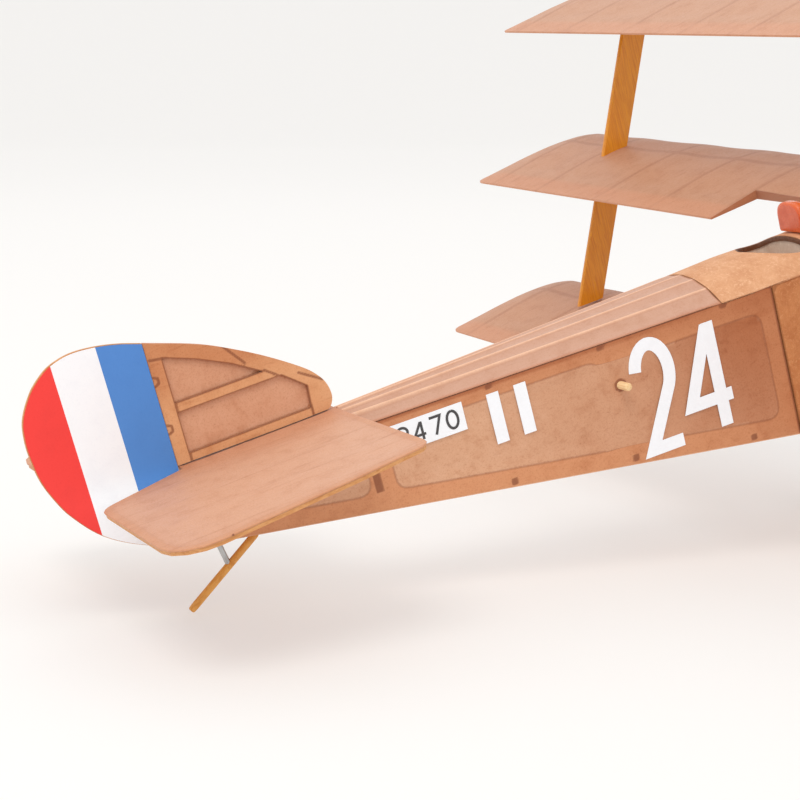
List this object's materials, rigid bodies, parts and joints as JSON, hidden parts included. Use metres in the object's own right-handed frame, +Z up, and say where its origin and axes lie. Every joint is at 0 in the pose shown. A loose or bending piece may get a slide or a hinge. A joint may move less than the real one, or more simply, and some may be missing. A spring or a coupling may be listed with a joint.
{
  "type": "rubber band plane",
  "caption": "Rubber-powered model triplane with tissue-covered frames, a hinged rudder, a removable nose plug, a turning propeller and rolling wheels.",
  "frame": {"origin": "centre of the box's underside: on the ground, between the wheels and the tail skid, on the centre line", "axes": "+X towards the nose, +Y to the pilot's left along the span, +Z up; the model stands nose up on its wheels and skid"},
  "size_m": [0.3719, 0.416, 0.1837],
  "materials": {
    "balsa": "bare sheet and strip wood",
    "tan_tissue": "doped tissue paper, slightly translucent",
    "kraft_card": "printed kraft card, satin",
    "ochre_varnished_wood": "ochre varnish over thin ply",
    "dark_leather": "dark brown, worn",
    "orange_pad": "orange-brown pad",
    "aluminium": "spun and bent sheet",
    "spring_steel": "bare wire",
    "brass": "bare bush",
    "engine_grey": "dark grey paint",
    "propeller_brown": "dark brown, glossy",
    "tan_rubber": "natural strip",
    "tyre_grey": "matt grey-black",
    "rudder_paper": "printed paper, blue, white and red stripes"
  },
  "bodies": {
    "airframe": {"axle": "spring_steel", "belly_cover": "tan_tissue", "cabane_strut_left": "ochre_varnished_wood", "cabane_strut_right": "ochre_varnished_wood", "cheek_left": "kraft_card", "cheek_right": "kraft_card", "cockpit_bulkhead": "balsa", "cockpit_coaming": "dark_leather", "cockpit_floor": "balsa", "cowl": "aluminium", "deck_card": "kraft_card", "deck_stringers": "balsa", "deck_tissue": "tan_tissue", "dummy_engine": "engine_grey", "fin_frame": "balsa", "fin_tissue": "tan_tissue", "former_1": "balsa", "former_2": "balsa", "former_3": "balsa", "former_4": "balsa", "interplane_strut_left": "ochre_varnished_wood", "interplane_strut_right": "ochre_varnished_wood", "lower_wing_frame_left": "balsa", "lower_wing_frame_right": "balsa", "lower_wing_tissue_left": "tan_tissue", "lower_wing_tissue_right": "tan_tissue", "middle_wing_frame": "balsa", "middle_wing_tissue_left": "tan_tissue", "middle_wing_tissue_right": "tan_tissue", "motor_peg": "balsa", "nose_former": "balsa", "rubber_motor": "tan_rubber", "rudder_hinge_lower": "aluminium", "rudder_hinge_upper": "aluminium", "side_frame_left": "balsa", "side_frame_right": "balsa", "side_tissue_left": "tan_tissue", "side_tissue_right": "tan_tissue", "tail_block": "balsa", "tail_skid": "ochre_varnished_wood", "tail_skid_brace": "aluminium", "tailplane_frame": "balsa", "tailplane_tissue": "tan_tissue", "undercarriage_left": "ochre_varnished_wood", "undercarriage_right": "ochre_varnished_wood", "upper_wing_frame": "balsa", "upper_wing_tissue_left": "tan_tissue", "upper_wing_tissue_right": "tan_tissue", "windscreen_pad": "orange_pad"},
    "rudder": {"rudder_frame": "balsa", "rudder_paper_left": "rudder_paper", "rudder_paper_right": "rudder_paper"},
    "nose_plug": {"nose_plug": "balsa", "nose_bearing": "brass"},
    "propeller": {"propeller": "propeller_brown", "prop_shaft": "spring_steel"},
    "left_wheel": {"wheel_left": "kraft_card", "tyre_left": "tyre_grey"},
    "right_wheel": {"wheel_right": "kraft_card", "tyre_right": "tyre_grey"}
  },
  "joints": [
    {"name": "rudder_trim", "type": "hinge", "parent": "airframe", "child": "rudder", "pos_m": [-0.14345, 0, 0.0416], "axis": [-0.2723, 0, 0.9622], "range_deg": [-15, 15]},
    {"name": "nose_plug_slide", "type": "slide", "parent": "airframe", "child": "nose_plug", "axis": [0.9622, 0, 0.2723], "range_m": [0, 0.03], "deforming": ["rubber_motor"]},
    {"name": "propeller_spin", "type": "hinge", "parent": "nose_plug", "child": "propeller", "pos_m": [0.16507, 0, 0.10085], "axis": [0.9622, 0, 0.2723], "continuous": true},
    {"name": "left_wheel_spin", "type": "hinge", "parent": "airframe", "child": "left_wheel", "pos_m": [0.12132, 0.049, 0.0204], "axis": [0, 1, 0], "continuous": true},
    {"name": "right_wheel_spin", "type": "hinge", "parent": "airframe", "child": "right_wheel", "pos_m": [0.12132, -0.049, 0.0204], "axis": [0, 1, 0], "continuous": true}
  ]
}
